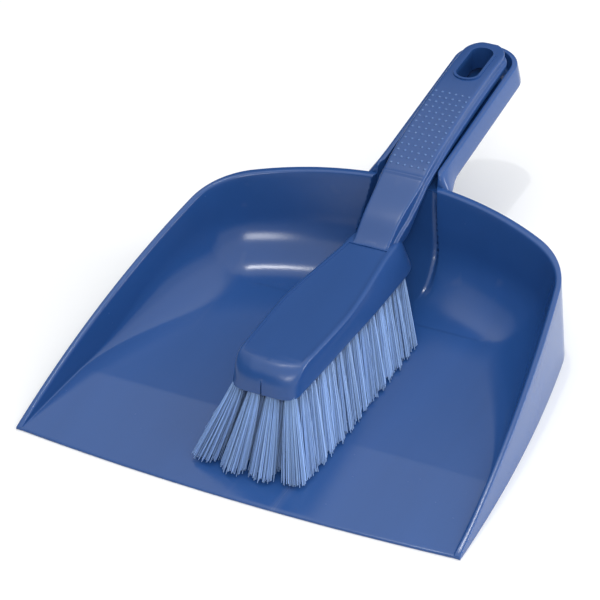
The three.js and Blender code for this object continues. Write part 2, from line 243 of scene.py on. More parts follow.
def to_brush(point):
    """Fit-frame millimetres of a point of the brush to metres in the part's frame."""
    return to_part(yawed(point))


def mirrored(points):
    """The left half of a row, from the points of its right half."""
    return [Vector((-p.x, p.y, p.z)) for p in reversed(points)]


def in_scene(name, data):
    """A new object in the scene."""
    thing = bpy.data.objects.new(name, data)
    bpy.context.scene.collection.objects.link(thing)
    return thing


def make_object(name, points, faces, place=to_part):
    """A closed mesh object at the origin: doubles merged, flat faces dropped, normals outwards."""
    mesh = bpy.data.meshes.new(name)
    mesh.from_pydata([place(p) for p in points], [], faces)
    work = bmesh.new()
    work.from_mesh(mesh)
    bmesh.ops.remove_doubles(work, verts=work.verts, dist=2e-7)
    bmesh.ops.dissolve_degenerate(work, edges=work.edges, dist=1e-8)
    bmesh.ops.recalc_face_normals(work, faces=work.faces)
    if work.calc_volume(signed=True) < 0:
        bmesh.ops.reverse_faces(work, faces=work.faces)
    work.to_mesh(mesh)
    work.free()
    return in_scene(name, mesh)


def grid_shell(name, upper, lower):
    """A closed shell between two grids of one size, rows front to back and columns across."""
    rows, columns = len(upper), len(upper[0])
    points = [p for row in upper for p in row] + [p for row in lower for p in row]
    below = rows * columns
    faces = []
    for r in range(rows - 1):
        for c in range(columns - 1):
            a = r * columns + c
            faces.append((a, a + columns, a + columns + 1, a + 1))
            a += below
            faces.append((a, a + 1, a + columns + 1, a + columns))
        for c in (0, columns - 1):
            a = r * columns + c
            faces.append((a, a + columns, a + columns + below, a + below))
    for c in range(columns - 1):
        faces.append((c, c + 1, c + 1 + below, c + below))
    return make_object(name, points, faces)


def loft(name, rings, place=to_part):
    """A closed body through rings of one size, capped flat at both ends."""
    sides = len(rings[0])
    points = [p for ring in rings for p in ring]
    faces = []
    for r in range(len(rings) - 1):
        for s in range(sides):
            a, b = r * sides + s, r * sides + (s + 1) % sides
            faces.append((a, b, b + sides, a + sides))
    faces.append(tuple(range(sides)))
    faces.append(tuple(range((len(rings) - 1) * sides, len(rings) * sides)))
    return make_object(name, points, faces, place)


def ring_at(y, half, share=1.0):
    """A ring at y from its right half, which runs from the centre of the foot to that of the top."""
    right = [Vector((p[0] * share, y, p[1])) for p in half]
    left = [Vector((-p[0] * share, y, p[1])) for p in half[1:-1]]
    return right + left[::-1]


def combine(target, tool, operation):
    """Joins a tool body to the target or cuts it away, and removes the tool."""
    modifier = target.modifiers.new("combine", "BOOLEAN")
    modifier.operation = operation
    modifier.solver = "MANIFOLD"
    modifier.object = tool
    evaluated = target.evaluated_get(bpy.context.evaluated_depsgraph_get())
    result = bpy.data.meshes.new_from_object(evaluated)
    if not result.polygons:
        raise RuntimeError(f"{target.name}: {operation} with {tool.name} left nothing")
    target.modifiers.remove(modifier)
    target.data = result
    bpy.data.objects.remove(tool)


def shade(thing):
    thing.data.polygons.foreach_set("use_smooth", [True] * len(thing.data.polygons))
    thing.data.set_sharp_from_angle(angle=SHARP_ANGLE)


def dress(thing, material, body):
    """Gives a finished piece its material and its body."""
    thing.data.materials.clear()
    thing.data.materials.append(material)
    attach(thing, body)


# ---------- scoop ----------

def rim_height(y):
    return RIM_START + RIM_RISE * max(y, 0) - RIM_DROOP * y * y


def floor_height(y):
    climb = (FLOOR_Z - LIP_THICKNESS) * (y + LIP_BOW) / (CREASE_Y + LIP_BOW)
    return min(FLOOR_Z, LIP_THICKNESS + climb)


def bow_at(y):
    return LIP_BOW * min(max(1 - y / CREASE_Y, 0), 1)


def recess_depth(x, z, grow):
    """How far the recess below the handle pushes the back wall out at (x, z)."""
    depth = 1 + 0.05 * z
    edge = between(RECESS_HALF_WIDTH, z) + grow
    inside = edge - abs(x)
    ramp = smoothstep(inside, 0, RECESS_SLOPE * depth)
    groove = GROOVE_DEPTH * math.exp(-((inside - grow - GROOVE_INSET) / GROOVE_WIDTH) ** 2)
    return (depth * ramp + groove * (0.35 + 0.013 * z)) * smoothstep(z, FLOOR_Z, FLOOR_Z + 2.5)


class Station:
    """A point of the rim's outer edge, with the direction that the rim runs in there."""

    def __init__(self, x, y, heading):
        self.x, self.y, self.heading = x, y, heading

    def inward(self, distance, z):
        x = self.x - distance * math.cos(self.heading)
        if self.heading > math.pi / 2 - 1e-6:
            x = 0.0
        return Vector((x, self.y - distance * math.sin(self.heading), z))


def rim_stations():
    """The right half of the rim, closer together at the lip, the crease and the recess."""
    side_radius = SIDE_LENGTH / (SIDE_END - SIDE_START)
    side_y = sorted(spaced(0, SIDE_LENGTH, 4) + [2, HOLLOW_START_Y - 0.1, CREASE_Y - 0.6, CREASE_Y + 0.6])
    stations = []
    for y in side_y:
        h = lerp(SIDE_START, SIDE_END, y / SIDE_LENGTH)
        x = LIP_HALF_WIDTH + side_radius * (math.cos(h) - math.cos(SIDE_START))
        stations.append(Station(x, side_radius * (math.sin(h) - math.sin(SIDE_START)), h))
    last = stations[-1]
    for h in spaced(SIDE_END, CORNER_END, math.radians(2))[1:]:
        x = last.x + CORNER_RADIUS * (math.cos(h) - math.cos(SIDE_END))
        stations.append(Station(x, last.y + CORNER_RADIUS * (math.sin(h) - math.sin(SIDE_END)), h))
    last = stations[-1]
    radius = last.x / math.cos(CORNER_END)
    near_recess = math.acos(27 / radius)
    headings = spaced(CORNER_END, near_recess, 0.012)[1:] + spaced(near_recess, math.pi / 2, 0.0034)[1:]
    for h in headings:
        y = last.y + radius * (math.sin(h) - math.sin(CORNER_END))
        stations.append(Station(radius * math.cos(h), y, h))
    stations[-1].x = 0.0
    return stations


def fillet_at(station, rise, bead):
    grown = smoothstep(station.y, CREASE_Y, CREASE_Y + FILLET_GROWTH)
    room = rise / 0.79 - bead - 0.02
    return min(lerp(FILLET_FRONT, FILLET_BACK, grown), room)


def band_at(station, look):
    """Width of the flat rim: narrow along the sides and wider round the back."""
    return lerp(look.rim_side, look.rim_back, smoothstep(station.heading, 0.35, CORNER_END)) / MM


def scoop_profiles(station, look):
    """Outer-and-inner and underside outlines at a station, as (distance inwards, z) lists."""
    top, floor = rim_height(station.y), floor_height(station.y)
    rise = top - floor
    band = band_at(station, look)
    edge = min(look.edge_radius / MM, 0.3 * top)
    bead = min(look.bead_radius / MM, 0.35 * rise)
    radius = fillet_at(station, rise, bead)
    centre_d = band + WALL_LEAN * rise + radius * math.tan((math.pi / 2 - LEAN_ANGLE) / 2)
    centre_z = floor + radius

    def arc(size, steps=12):
        turns = [lerp(LEAN_ANGLE, math.pi / 2, i / steps) for i in range(steps + 1)]
        return [(centre_d - size * math.cos(a), centre_z - size * math.sin(a)) for a in turns]

    foot = 0.35
    upper = [(foot - SKIRT_FLARE * top, 0), (-SKIRT_FLARE * (top - foot), min(foot, 0.3 * top))]
    for i in range(1, 7):
        z = lerp(upper[1][1], top - edge, i / 6)
        upper.append((-SKIRT_FLARE * (top - z), z))
    for i in range(1, 5):
        a = math.pi / 8 * i
        upper.append((edge * (1 - math.cos(a) - SKIRT_FLARE), top - edge + edge * math.sin(a)))
    bead_d = band + WALL_LEAN * bead - bead / math.cos(LEAN_ANGLE)
    for i in range(7):
        b = (math.pi / 2 - LEAN_ANGLE) * i / 6
        upper.append((bead_d + bead * math.sin(b), top - bead + bead * math.cos(b)))
    inner = arc(radius)
    bead_end = upper[-1]
    for i in range(1, 8):
        t = i / 8
        upper.append((lerp(bead_end[0], inner[0][0], t), lerp(bead_end[1], inner[0][1], t)))
    upper += inner

    if station.y < HOLLOW_START_Y:
        lower = [(lerp(foot - SKIRT_FLARE * top, centre_d, i / 26), 0) for i in range(27)]
        return upper, lower
    across = station.x - 4 * math.cos(station.heading)
    drop = 0.0
    for _ in range(3):
        push = recess_depth(across, top - drop, SKIN)
        drop = (SKIN + SKIN / math.cos(LEAN_ANGLE) - band + push) / (WALL_LEAN + SKIRT_FLARE)
        drop = max(drop, 2.0)
    outer = arc(radius + SKIN)
    apex = top - drop
    wall_d = band + WALL_LEAN * drop - SKIN / math.cos(LEAN_ANGLE)
    lower = [(SKIN - SKIRT_FLARE * (top - z), z) for z in (apex * i / 6 for i in range(7))]
    for i in range(7):
        lower.append((lerp(wall_d, outer[0][0], i / 7), lerp(apex, outer[0][1], i / 7)))
    return upper, lower + outer


def scoop_row(station, profile, height_at, grow):
    """One row across the scoop, with the recess pressed into the part of it that it meets."""
    half = []
    for distance, z in profile:
        point = station.inward(distance, z)
        push = recess_depth(point.x, z + grow, grow) if distance > 1 and station.heading > CORNER_END else 0
        point.y += min(push, max(distance - 0.9, 0)) if not grow else push
        half.append(point)
    foot = half[-1]
    row = list(half)
    for i in range(1, 2 * HALF_FLOOR_COLUMNS):
        across = 1 - i / HALF_FLOOR_COLUMNS
        y = foot.y - bow_at(foot.y) * (1 - across * across)
        row.append(Vector((foot.x * across, y, height_at(y, foot.z))))
    return row + mirrored(half)


def scoop_body(look):
    """The whole scoop as one shell, with a rounded lip."""
    upper, lower = [], []
    for station in rim_stations():
        top, under = scoop_profiles(station, look)
        under += [under[-1]] * (len(top) - len(under))
        solid = station.y < HOLLOW_START_Y
        top_row = scoop_row(station, top, lambda y, z: floor_height(y), 0.0)
        bottom = (lambda y, z: 0.0) if solid else (lambda y, z: floor_height(y) - SKIN)
        under_row = scoop_row(station, under, bottom, 0.0 if solid else SKIN)
        if not upper:
            for ahead, dip in ((0.0, 0.42), (0.14, 0.14)):
                upper.append([Vector((p.x, p.y + ahead, max(p.z - dip, 0.3 * p.z))) for p in top_row])
                lower.append([Vector((p.x, p.y + ahead, dip * 0.7)) for p in under_row])
            top_row = [p + Vector((0, 0.45, 0)) for p in top_row]
            under_row = [p + Vector((0, 0.45, 0)) for p in under_row]
        upper.append(top_row)
        lower.append(under_row)
    return grid_shell("dustpan_shell", upper, lower)


# ---------- pan handle ----------

def channel_top(y):
    front = max(0.0, ROOT_Y + 4 - y)
    return 57.2 + 0.088 * (y - 197) - (4 - math.sqrt(max(16 - front * front, 0.0)))


def channel_bottom(y):
    return 47.7 + 0.0793 * (y - 207)


def channel_floor(y):
    return channel_bottom(y) + CHANNEL_SKIN


def mouth_spread(y):
    """How far the channel opens sideways towards its mouth, which rounds its inner front corners."""
    return 2.6 * (1 - smoothstep(y, ROOT_Y, ROOT_Y + 5.5))


def handle_body():
    """The open-topped channel that the grip lies in, as one shell."""
    straight = spaced(ROOT_Y, ROOT_Y + 8, 0.7) + spaced(ROOT_Y + 8, PAN_TIP_Y - CHANNEL_WALL_TOP, 5)[1:]
    stations = [Station(CHANNEL_WALL_TOP, y, 0.0) for y in straight]
    for h in spaced(0, math.pi / 2, math.radians(4))[1:]:
        y = PAN_TIP_Y - CHANNEL_WALL_TOP * (1 - math.sin(h))
        stations.append(Station(CHANNEL_WALL_TOP * math.cos(h), y, h))
    upper, lower = [], []
    for station in stations:
        top, floor, bottom = channel_top(station.y), channel_floor(station.y), channel_bottom(station.y)
        flare = ROOT_FLARE * (1 - smoothstep(station.y, ROOT_Y - 2, ROOT_FLARE_END_Y))
        out = -(CHANNEL_WALL_SPREAD + flare) * math.cos(station.heading) ** 2
        wall = CHANNEL_WALL_TOP - CHANNEL_INNER - mouth_spread(station.y) * 0.75
        foot_d = wall + 3.2
        corners = [
            (out + 3, bottom, 0), (out, bottom + 0.2, 1.6), (out * 0.45, lerp(bottom, top, 0.62), 5),
            (0, top, 0.9), (wall, top, 0.5), (wall + 0.5, floor, 1.6), (foot_d, floor, 0),
        ]
        profile = rounded(corners)

        def row(points, z_across):
            half = [station.inward(d, z) for d, z in points]
            foot = half[-1]
            middle = [Vector((foot.x * (1 - i / HALF_CHANNEL_COLUMNS), foot.y, z_across))
                      for i in range(1, 2 * HALF_CHANNEL_COLUMNS)]
            return half + middle + mirrored(half)

        upper.append(row(profile, floor))
        count = len(profile) - 1
        flat = [(lerp(out + 3, foot_d, i / count), bottom) for i in range(count + 1)]
        lower.append(row(flat, bottom))
    return grid_shell("handle_shell", upper, lower)


def back_wall_y(z, look):
    """Distance from the lip to the inner face of the back wall on the centre line."""
    back = rim_stations()[-1]
    return back.y - look.rim_back / MM - WALL_LEAN * (rim_height(back.y) - z)


def recess_tool(look):
    """The part of the recess that runs up through the front of the handle."""
    rings = []
    for z in spaced(40, 66, 2):
        depth = 1.3 + 0.05 * z
        edge = between(RECESS_HALF_WIDTH, z)
        wall = back_wall_y(z, look)
        inner = edge - RECESS_SLOPE * depth
        rings.append([Vector(p) for p in (
            (-edge, 150, z), (edge, 150, z), (edge, wall, z), (inner, wall + depth, z),
            (-inner, wall + depth, z), (-edge, wall, z))])
    return loft("recess_tool", rings)


def mouth_tool():
    """The way from the scoop into the channel, cut through the rim."""
    rings = []
    for y in spaced(188, 212, 1.5):
        wide = CHANNEL_INNER + 0.35 + mouth_spread(y) * 0.7
        half = [(0, channel_floor(y) - 0.6), (wide, channel_floor(y) - 0.6), (wide, 80), (0, 80)]
        rings.append(ring_at(y, half))
    return loft("mouth_tool", rings)


# ---------- brush stock ----------

def block_top(y):
    return BLOCK_TOP_AT_NOSE - BLOCK_PITCH * (y - NOSE_Y)


def block_bottom(y):
    return block_top(y) - BLOCK_HEIGHT


def nose_share(y, power, reach=END_REACH):
    """Share of the full section left near the block's rounded nose."""
    if y >= NOSE_Y + NOSE_LENGTH:
        return 1.0
    t = reach * (NOSE_Y + NOSE_LENGTH - y) / NOSE_LENGTH
    return max(1 - t**power, 0) ** (1 / power)


def heel_share(y):
    """Share of the full section left near the block's rounded heel."""
    if y <= HEEL_Y - HEEL_LENGTH:
        return 1.0
    t = END_REACH * (y - HEEL_Y + HEEL_LENGTH) / HEEL_LENGTH
    return (1 - t**HEEL_POWER) ** (1 / HEEL_POWER)


BLOCK_FOOT = ((36, 16.5), (60, 17.4), (90, 18.2), (120, 19), (147, 19), (175, 18.6))
BLOCK_SHOULDER = ((36, 16.2), (60, 17.2), (85, 17.8), (105, 16.6), (125, 14.5), (152, 12), (175, 11.6))


def block_half_widths(y):
    """Half widths of the block at its foot and at its shoulder."""
    foot = between(BLOCK_FOOT, y) * nose_share(y, 4.2) * heel_share(y)
    return foot, between(BLOCK_SHOULDER, y) * nose_share(y, 2.6) * heel_share(y)


def block_body():
    nose = [NOSE_Y + NOSE_LENGTH * (1 - math.cos(a)) for a in spaced(0, math.pi / 2, 0.1)]
    heel = [HEEL_Y - HEEL_LENGTH * (1 - math.sin(a)) for a in spaced(0, math.pi / 2, 0.12)]
    rings = []
    for y in nose + spaced(NOSE_Y + NOSE_LENGTH, HEEL_Y - HEEL_LENGTH, 5)[1:] + heel[1:]:
        low, high = block_half_widths(y)
        if y < HEEL_Y - HEEL_LENGTH:
            full = lerp(NOSE_FULLNESS, 1, nose_share(y, 2.1, 1.0))
        else:
            full = lerp(HEEL_FULLNESS, 1, heel_share(y))
        bottom = block_bottom(y)
        top = bottom + BLOCK_HEIGHT * full
        crown = NOSE_CROWN * (top - bottom) * (1 - smoothstep(y, NOSE_Y, NOSE_Y + NOSE_CROWN_LENGTH))
        half = [
            (0, bottom, 0), (low, bottom, 0.9), (high, top - crown, 1.7),
            (high * 0.8, top - 0.5 * crown, 1.5), (high * 0.5, top - 0.15 * crown, 1.5),
            (0, top + 0.15, 0),
        ]
        rings.append(ring_at(y, rounded(half, 5)))
    return loft("block", rings, to_brush)


GRIP_TOP = (
    (150, 41.5), (154, 43.4), (168, 51), (189, 57.4), (205, 62.8), (226, 67), (248, 70), (272, 72.1),
    (294, 73), (316, 73.2),
)
GRIP_FOOT = ((150, 33), (172, 33), (180, 38), (188, 45), (197, 50.6), (204, 51.2), (226, 55.1), (316, 62.3))
GRIP_WIDTH = ((150, 10.6), (172, 11.6), (190, 12.6), (205, GRIP_HALF_WIDTH))
RIDGE_Y = 194
RIDGE_HEIGHT = 0.5


def grip_top(y):
    """Top of the grip, with a fine ridge where the pad ends."""
    return between(GRIP_TOP, y) + RIDGE_HEIGHT * math.exp(-(y - RIDGE_Y) ** 2)


def grip_body():
    plain = spaced(150, 186, 2) + spaced(186, 202, 0.5)[1:] + spaced(202, GRIP_TIP_Y - GRIP_HALF_WIDTH, 4)[1:]
    stations = [(y, 1.0, 0.0) for y in plain]
    for a in spaced(0, math.radians(87), 0.09)[1:]:
        y = GRIP_TIP_Y - GRIP_HALF_WIDTH * (1 - math.sin(a))
        stations.append((y, math.cos(a), 1.1 * smoothstep(a, 1.1, 1.55)))
    rings = []
    for y, share, dip in stations:
        top, low, wide = grip_top(y) - dip, between(GRIP_FOOT, y) + dip * 0.5, between(GRIP_WIDTH, y)
        rise = top - low
        half = [
            (0, low, 0), (wide - 3.5, low, 1.2), (wide - 0.5, low + 0.22 * rise, 2),
            (wide, low + 0.6 * rise, 0.5), (wide - 1.4, low + 0.68 * rise, 0.5),
            (wide - 1.7, top, 1.1), (wide * 0.5, top + 0.05, 3), (0, top + 0.1, 0),
        ]
        rings.append(ring_at(y, rounded(half), share))
    return loft("grip", rings, to_brush)


def obround(name, radius, low, high):
    """An upright bar with round ends that leans with the top of the grip."""
    slope = (between(GRIP_TOP, HANG_HOLE_Y + 15) - between(GRIP_TOP, HANG_HOLE_Y - 15)) / 30
    lean = Matrix.Rotation(math.atan(slope), 3, "X")
    outline = []
    for side in (0, 1):
        for i in range(21):
            a = math.pi * (side + i / 20)
            shift = HANG_HOLE_STRAIGHT / 2 * (1 - 2 * side)
            outline.append((radius * math.cos(a), shift + radius * math.sin(a)))
    centre = Vector((0, HANG_HOLE_Y, between(GRIP_TOP, HANG_HOLE_Y)))
    rings = [[centre + lean @ Vector((x, y, z)) for x, y in outline] for z in (low, high)]
    return loft(name, rings, to_brush)


def panel_tool(look):
    """The shallow panel that is let into the top of the block."""
    depth = look.panel_depth / MM
    rings = []
    for y in spaced(PANEL_START_Y, 150, 3.5):
        ease = 1 - 0.1 * (1 - smoothstep(y, PANEL_START_Y, 40)) ** 2
        wide = (block_half_widths(y)[1] - look.panel_margin / MM) * ease
        floor = block_top(y) - depth
        half = [(0, floor), (wide, floor), (wide + 0.4, floor + 4), (0, floor + 4)]
        rings.append(ring_at(y, half))
    return loft("panel_tool", rings, to_brush)


def seam_tool(look):
    """The fine parting seam up the middle of the nose."""
    half = look.seam_width / MM / 2
    corners = ((-half, 30), (half, 30), (half, 60), (-half, 60))
    rings = [[Vector((x, y, z)) for x, z in corners] for y in (NOSE_Y - 2, NOSE_Y + 0.9)]
    return loft("seam_tool", rings, to_brush)


def tuft_roots():
    for row in range(TUFT_ROWS):
        for column, x in enumerate(TUFT_COLUMNS):
            y = TUFT_FIRST_Y + row * TUFT_PITCH
            yield row, column, Vector((x, y, block_bottom(y)))


def tuft_holes_tool():
    """All the tuft holes as one set of separate upright bars."""
    points, faces = [], []
    sides = 16
    for _, _, root in tuft_roots():
        base = len(points)
        for z in (-2, TUFT_HOLE_DEPTH):
            for i in range(sides):
                a = 2 * math.pi * i / sides
                x, y = TUFT_HOLE_RADIUS * math.cos(a), TUFT_HOLE_RADIUS * math.sin(a)
                points.append(root + Vector((x, y, z)))
        for i in range(sides):
            j = (i + 1) % sides
            faces.append((base + i, base + j, base + j + sides, base + i + sides))
        faces.append(tuple(base + i for i in reversed(range(sides))))
        faces.append(tuple(base + sides + i for i in range(sides)))
    return make_object("tuft_holes_tool", points, faces, to_brush)


# ---------- material groups ----------

def feed(tree, socket, value):
    """Links an input to another socket, or gives it a plain value."""
    if isinstance(value, bpy.types.NodeSocket):
        tree.links.new(value, socket)
    else:
        socket.default_value = value


def add(tree, kind, settings=None, **inputs):
    """A node with its settings, and with its inputs linked or given plain values."""
    node = tree.nodes.new(kind)
    for key, value in (settings or {}).items():
        setattr(node, key, value)
    for key, value in inputs.items():
        feed(tree, node.inputs[key.replace("_", " ")], value)
    return node


def new_group(name, inputs, outputs):
    """A shader group of single values, with the sockets to work between."""
    group = bpy.data.node_groups.new(name, "ShaderNodeTree")
    new_socket = group.interface.new_socket
    for label, default in inputs.items():
        new_socket(label, in_out="INPUT", socket_type="NodeSocketFloat").default_value = default
    for label in outputs:
        new_socket(label, in_out="OUTPUT", socket_type="NodeSocketFloat")
    return group, group.nodes.new("NodeGroupInput").outputs, group.nodes.new("NodeGroupOutput").inputs


def grain_group():
    """Fine texture of a polished mould: a faint orange peel with flow streaks along the part."""
    group, start, end = new_group(
        "moulding_grain", {"Grain Scale": 900.0, "Streak Scale": 30.0}, ("Height", "Streaks"))
    place = add(group, "ShaderNodeTexCoord").outputs["Object"]
    fine = add(group, "ShaderNodeTexNoise", Vector=place, Scale=start["Grain Scale"],
               Detail=3.0, Roughness=0.55)
    stretch = add(group, "ShaderNodeMapping", Vector=place, Scale=(1.0, 0.12, 1.0))
    streak = add(group, "ShaderNodeTexNoise", Vector=stretch.outputs[0], Scale=start["Streak Scale"],
                 Detail=4.0, Roughness=0.6, Distortion=0.3)
    feed(group, end["Height"], fine.outputs["Fac"])
    feed(group, end["Streaks"], streak.outputs["Fac"])
    return group


def wear_group():
    """Thin scuffs that run mostly front to back, and a dusting of dull specks."""
    group, start, end = new_group(
        "surface_wear", {"Scuff Scale": 60.0, "Speck Scale": 500.0}, ("Scuffs", "Specks"))
    place = add(group, "ShaderNodeTexCoord").outputs["Object"]
    turn = add(group, "ShaderNodeMapping", Vector=place, Scale=(1.0, 0.05, 1.0), Rotation=(0.0, 0.0, 0.25))
    for label, vector, scale, detail, low, high in (
            ("Scuffs", turn.outputs[0], "Scuff Scale", 2.0, 0.66, 0.74),
            ("Specks", place, "Speck Scale", 1.0, 0.74, 0.84)):
        noise = add(group, "ShaderNodeTexNoise", Vector=vector, Scale=start[scale], Detail=detail)
        mask = add(group, "ShaderNodeMapRange", Value=noise.outputs["Fac"], From_Min=low, From_Max=high)
        feed(group, end[label], mask.outputs["Result"])
    return group


def shared_group(name, build):
    return bpy.data.node_groups.get(name) or build()


def tinted(colour, share):
    """A darker or lighter shade of a colour, with its alpha."""
    return tuple(min(c * share, 1) for c in colour) + (1,)


def mix_colour(tree, factor, low, high):
    """Blends two colours by a varying factor and returns the output socket."""
    node = add(tree, "ShaderNodeMix", {"data_type": "RGBA"})
    for i, value in ((0, factor), (6, low), (7, high)):
        feed(tree, node.inputs[i], value)
    return node.outputs[2]


def new_material(name, **constants):
    """A material, its tree, and the inputs of its shader with the constants set."""
    material = bpy.data.materials.new(name)
    material.use_nodes = True
    tree = material.node_tree
    shader = tree.nodes["Principled BSDF"].inputs
    for key, value in constants.items():
        shader[key.replace("_", " ")].default_value = value
    return material, tree, shader


def moulded_plastic(name, colour, roughness, grain_scale):
    """Glossy injection-moulded plastic with flow streaks, fine grain, scuffs and dull specks."""
    material, tree, shader = new_material(name, IOR=PLASTIC_IOR)
    grain = add(tree, "ShaderNodeGroup", {"node_tree": shared_group("moulding_grain", grain_group)},
                Grain_Scale=grain_scale).outputs
    wear = add(tree, "ShaderNodeGroup", {"node_tree": shared_group("surface_wear", wear_group)}).outputs
    base = mix_colour(tree, grain["Streaks"], tinted(colour, 0.88), tinted(colour, 1.14))
    pale = tuple(lerp(c, 0.55, 0.04) for c in colour) + (1,)
    feed(tree, shader["Base Color"], mix_colour(tree, wear["Scuffs"], base, pale))
    worn = add(tree, "ShaderNodeMath", {"operation": "MAXIMUM"})
    feed(tree, worn.inputs[0], wear["Scuffs"])
    feed(tree, worn.inputs[1], wear["Specks"])
    rough = add(tree, "ShaderNodeMapRange", Value=worn.outputs[0], To_Min=roughness, To_Max=roughness + 0.1)
    feed(tree, shader["Roughness"], rough.outputs["Result"])
    bump = add(tree, "ShaderNodeBump", Height=grain["Height"], Strength=0.06, Distance=0.0004)
    feed(tree, shader["Normal"], bump.outputs["Normal"])
    return material


def filament_material(colour):
    """Satin nylon: each filament has its own tint, and it lightens towards the trimmed tip; the darker roots
    are painted shade, where the filaments crowd under the block.
    """
    material, tree, shader = new_material("filament", Roughness=0.42)
    tint = add(tree, "ShaderNodeAttribute", {"attribute_name": "tint"})
    along = add(tree, "ShaderNodeAttribute", {"attribute_name": "along"})
    base = mix_colour(tree, tint.outputs["Fac"], tinted(colour, 0.72), tinted(colour, 1.22))
    # Painted shade: each filament starts at 0.6 of its colour at the root and reaches its full tint 35 % of
    # the way to the tip.
    rise = add(tree, "ShaderNodeMapRange", Value=along.outputs["Fac"], From_Max=0.35)
    feed(tree, shader["Base Color"], mix_colour(tree, rise.outputs["Result"], tinted(colour, 0.6), base))
    return material


def plain_metal():
    """Slightly dulled wire."""
    material, tree, shader = new_material("anchor_wire", Metallic=1.0)
    place = add(tree, "ShaderNodeTexCoord").outputs["Object"]
    noise = add(tree, "ShaderNodeTexNoise", Vector=place, Scale=900.0, Detail=2.0).outputs["Fac"]
    base = mix_colour(tree, noise, (0.42, 0.42, 0.44, 1), (0.66, 0.66, 0.68, 1))
    feed(tree, shader["Base Color"], base)
    rough = add(tree, "ShaderNodeMapRange", Value=noise, To_Min=0.28, To_Max=0.5)
    feed(tree, shader["Roughness"], rough.outputs["Result"])
    return material


# ---------- geometry nodes ----------

class Nodes:
    """A geometry node tree under construction, with named inputs."""

    def __init__(self, name, inputs):
        self.tree = bpy.data.node_groups.new(name, "GeometryNodeTree")
        face = self.tree.interface
        face.new_socket("Geometry", in_out="INPUT", socket_type="NodeSocketGeometry")
        self.ids = {}
        for label, kind in inputs:
            self.ids[label] = face.new_socket(label, in_out="INPUT", socket_type=kind).identifier
        face.new_socket("Geometry", in_out="OUTPUT", socket_type="NodeSocketGeometry")
        self.start = self.tree.nodes.new("NodeGroupInput").outputs
        self.end = self.tree.nodes.new("NodeGroupOutput").inputs

    def node(self, kind, settings=None, **inputs):
        """The first output of a new node."""
        return add(self.tree, kind, settings, **inputs).outputs[0]

    def worked(self, kind, operation, terms):
        node = add(self.tree, kind, {"operation": operation})
        for i, term in enumerate(terms):
            feed(self.tree, node.inputs[i], term)
        return node.outputs[0]

    def math(self, operation, *terms):
        return self.worked("ShaderNodeMath", operation, terms)

    def vector(self, operation, *terms):
        return self.worked("ShaderNodeVectorMath", operation, terms)

    def scaled(self, vector, factor):
        return self.node("ShaderNodeVectorMath", {"operation": "SCALE"}, Vector=vector, Scale=factor)

    def xyz(self, **parts):
        """A vector from the given X, Y and Z, with nothing in the rest."""
        return self.node("ShaderNodeCombineXYZ", **parts)

    def field(self, name):
        return self.node("GeometryNodeInputNamedAttribute", {"data_type": "FLOAT_VECTOR"}, Name=name)

    def random(self, low, high, seed, index):
        """A random number for each element, from its own index."""
        node = add(self.tree, "FunctionNodeRandomValue", {"data_type": "FLOAT"}, ID=index, Seed=seed)
        node.inputs[2].default_value = low
        node.inputs[3].default_value = high
        return node.outputs[1]

    def keep(self, geometry, name, kind, value):
        settings = {"data_type": kind, "domain": "POINT"}
        return self.node("GeometryNodeStoreNamedAttribute", settings,
                         Geometry=geometry, Name=name, Value=value)

    def tube(self, curve, radius, sides):
        """A capped bar along a curve."""
        ring = self.node("GeometryNodeCurvePrimitiveCircle", Resolution=sides, Radius=radius)
        return self.node("GeometryNodeCurveToMesh", Curve=curve, Profile_Curve=ring, Fill_Caps=True)

    def finish(self, geometry, material):
        real = self.node("GeometryNodeRealizeInstances", Geometry=geometry)
        coat = self.node("GeometryNodeSetMaterial", Geometry=real, Material=material)
        feed(self.tree, self.end[0], coat)


def grown(name, points, vectors, nodes, settings):
    """Runs a node tree on loose points that carry vectors, and returns its result as a plain mesh."""
    mesh = bpy.data.meshes.new(name)
    mesh.from_pydata(points, [], [])
    for label, values in vectors.items():
        layer = mesh.attributes.new(label, "FLOAT_VECTOR", "POINT")
        layer.data.foreach_set("vector", [c for v in values for c in v])
    thing = in_scene(name, mesh)
    modifier = thing.modifiers.new("grow", "NODES")
    modifier.node_group = nodes.tree
    for label, value in settings.items():
        modifier[nodes.ids[label]] = value
    evaluated = thing.evaluated_get(bpy.context.evaluated_depsgraph_get())
    result = bpy.data.meshes.new_from_object(evaluated)
    thing.modifiers.remove(modifier)
    if not result.polygons:
        raise RuntimeError(f"{name}: the node tree made nothing")
    thing.data = result
    return thing


